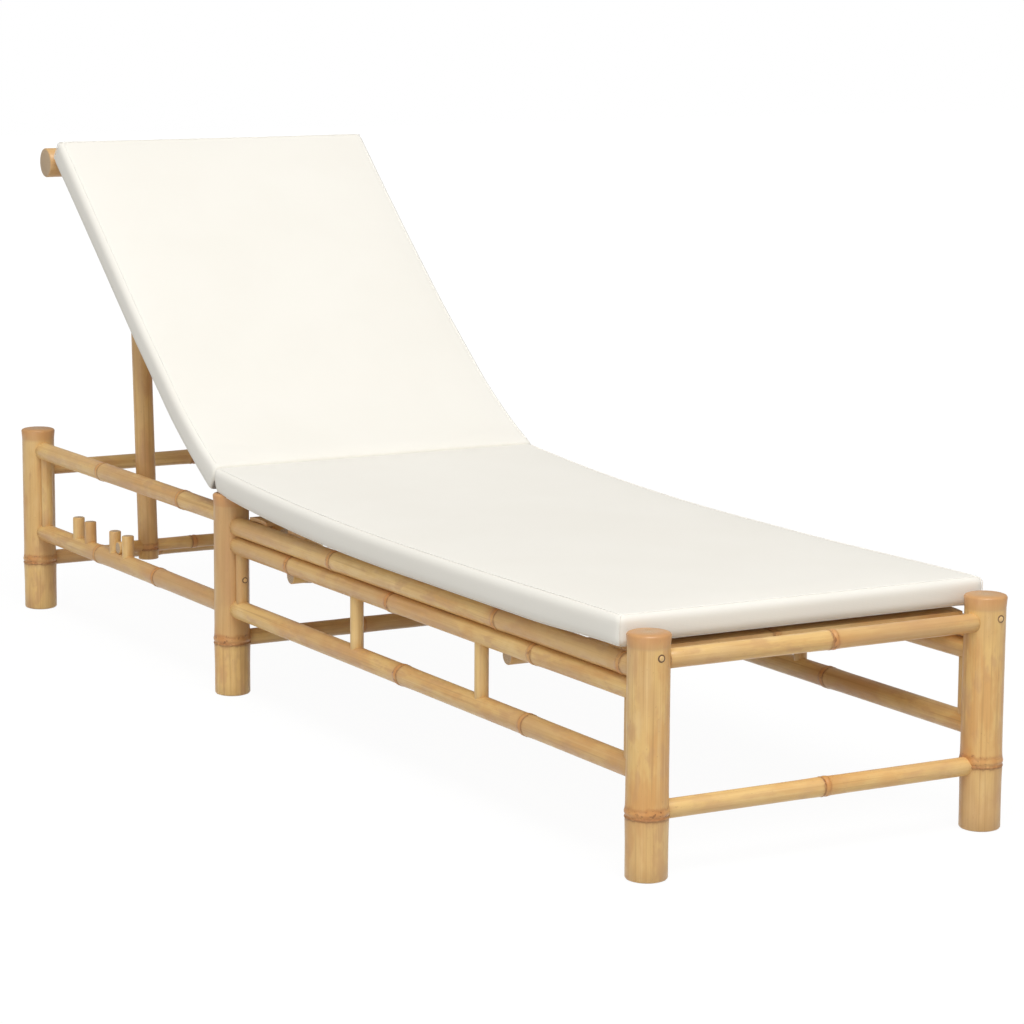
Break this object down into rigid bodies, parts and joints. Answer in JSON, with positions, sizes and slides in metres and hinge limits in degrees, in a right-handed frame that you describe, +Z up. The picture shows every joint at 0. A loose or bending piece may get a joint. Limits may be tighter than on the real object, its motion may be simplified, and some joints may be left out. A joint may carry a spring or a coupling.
{
  "type": "sun lounger",
  "caption": "Bamboo pole sun lounger on six legs with a hinged back held by a folding prop, and a thin two-part cushion.",
  "frame": {"origin": "on the floor, under the middle of the lounger's length and width", "axes": "+Z up, +Y from the foot end to the head end, +X from the left legs to the right legs as seen from the foot end"},
  "size_m": [0.569, 2.0292, 0.8025],
  "materials": {
    "bamboo": "satin varnish",
    "split_bamboo": "satin",
    "dark_bamboo": "satin",
    "fabric": "matte"
  },
  "bodies": {
    "frame": {"leg_foot_left": "bamboo", "leg_middle_left": "bamboo", "leg_head_left": "bamboo", "rail_seat_top_left": "bamboo", "rail_seat_second_left": "bamboo", "rail_seat_lower_left": "bamboo", "rail_head_upper_left": "bamboo", "rail_head_lower_left": "bamboo", "stick_foot_left": "bamboo", "spindle_foot_left": "bamboo", "spindle_middle_left": "bamboo", "stick_middle_front_left": "bamboo", "stick_middle_rear_left": "bamboo", "stick_head_left": "bamboo", "leg_foot_right": "bamboo", "leg_middle_right": "bamboo", "leg_head_right": "bamboo", "rail_seat_top_right": "bamboo", "rail_seat_second_right": "bamboo", "rail_seat_lower_right": "bamboo", "rail_head_upper_right": "bamboo", "rail_head_lower_right": "bamboo", "stick_foot_right": "bamboo", "spindle_foot_right": "bamboo", "spindle_middle_right": "bamboo", "stick_middle_front_right": "bamboo", "stick_middle_rear_right": "bamboo", "stick_head_right": "bamboo", "cross_foot_upper": "bamboo", "cross_foot_lower": "bamboo", "cross_middle_lower": "bamboo", "cross_head_upper": "bamboo", "cross_head_lower": "bamboo", "tie_foot": "bamboo", "tie_middle": "bamboo", "hinge_rod": "dark_bamboo", "seat_slat_1": "split_bamboo", "seat_slat_2": "split_bamboo", "seat_slat_3": "split_bamboo", "seat_slat_4": "split_bamboo", "seat_slat_5": "split_bamboo", "seat_slat_6": "split_bamboo", "seat_slat_7": "split_bamboo", "seat_slat_8": "split_bamboo", "seat_slat_9": "split_bamboo", "cushion_seat": "fabric"},
    "backrest": {"back_pole_left": "bamboo", "back_pole_right": "bamboo", "top_bar": "bamboo", "pivot_rod": "dark_bamboo", "cushion_back": "fabric", "back_slat_1": "split_bamboo", "back_slat_2": "split_bamboo", "back_slat_3": "split_bamboo", "back_slat_4": "split_bamboo", "back_slat_5": "split_bamboo", "back_slat_6": "split_bamboo"},
    "prop": {"prop_upright_left": "bamboo", "prop_upright_right": "bamboo", "prop_rod": "bamboo"}
  },
  "joints": [
    {"name": "backrest_hinge", "type": "hinge", "parent": "frame", "child": "backrest", "pos_m": [0, 0.2105, 0.258], "axis": [1, 0, 0], "range_deg": [-35.4, 5]},
    {"name": "prop_hinge", "type": "hinge", "parent": "backrest", "child": "prop", "pos_m": [0, 0.65649, 0.60519], "axis": [1, 0, 0], "range_deg": [-45.6, 6.45]}
  ],
  "couplings": [
    {"joint": "prop_hinge", "follows": "backrest_hinge", "ratio": 1.288}
  ]
}
